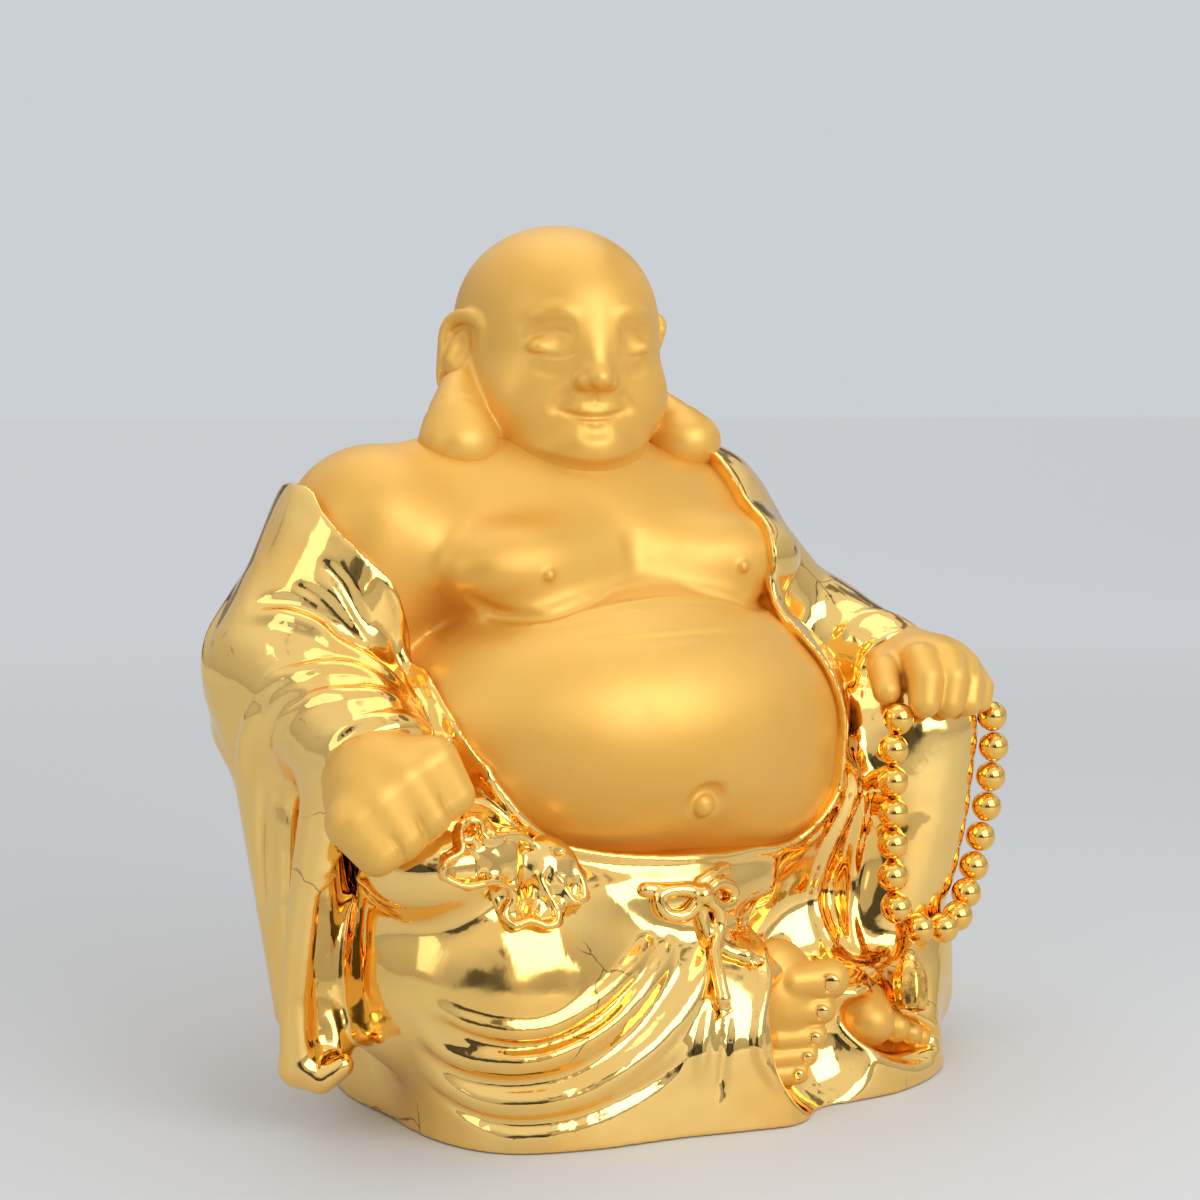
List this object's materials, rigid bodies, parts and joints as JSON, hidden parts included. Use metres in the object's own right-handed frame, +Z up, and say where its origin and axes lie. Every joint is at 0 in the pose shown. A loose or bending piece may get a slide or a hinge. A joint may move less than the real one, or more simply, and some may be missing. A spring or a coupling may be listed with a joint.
{
  "type": "budai figure",
  "caption": "Seated laughing-monk figure in gold finish, bare round belly, one hand on a cloth sack, a loop of loose beads with a bud pendant under the other.",
  "frame": {"origin": "on the ground plane, under the middle of the seat", "axes": "+Z up along the seated body, -Y the way the figure faces, +X towards the figure's own left"},
  "size_m": [0.948, 0.5759, 1.0007],
  "materials": {
    "gilded_casting": "gold plating over a moulded body, mirror bright on the cloth and satin on the skin, a few fine dark cracks",
    "gold_bead": "polished gold plating",
    "gold_bud": "gold plating with a darker patina towards the open lower rim"
  },
  "bodies": {
    "root": {"figure": "gilded_casting", "bead_01": "gold_bead", "bead_02": "gold_bead", "bead_03": "gold_bead", "bead_04": "gold_bead", "bead_05": "gold_bead", "bead_06": "gold_bead", "bead_07": "gold_bead", "bead_08": "gold_bead", "bead_09": "gold_bead", "bead_10": "gold_bead", "bead_11": "gold_bead", "bead_12": "gold_bead", "bead_13": "gold_bead", "bead_14": "gold_bead", "bead_15": "gold_bead", "bead_16": "gold_bead", "bead_17": "gold_bead", "tassel": "gold_bud"}
  },
  "joints": []
}
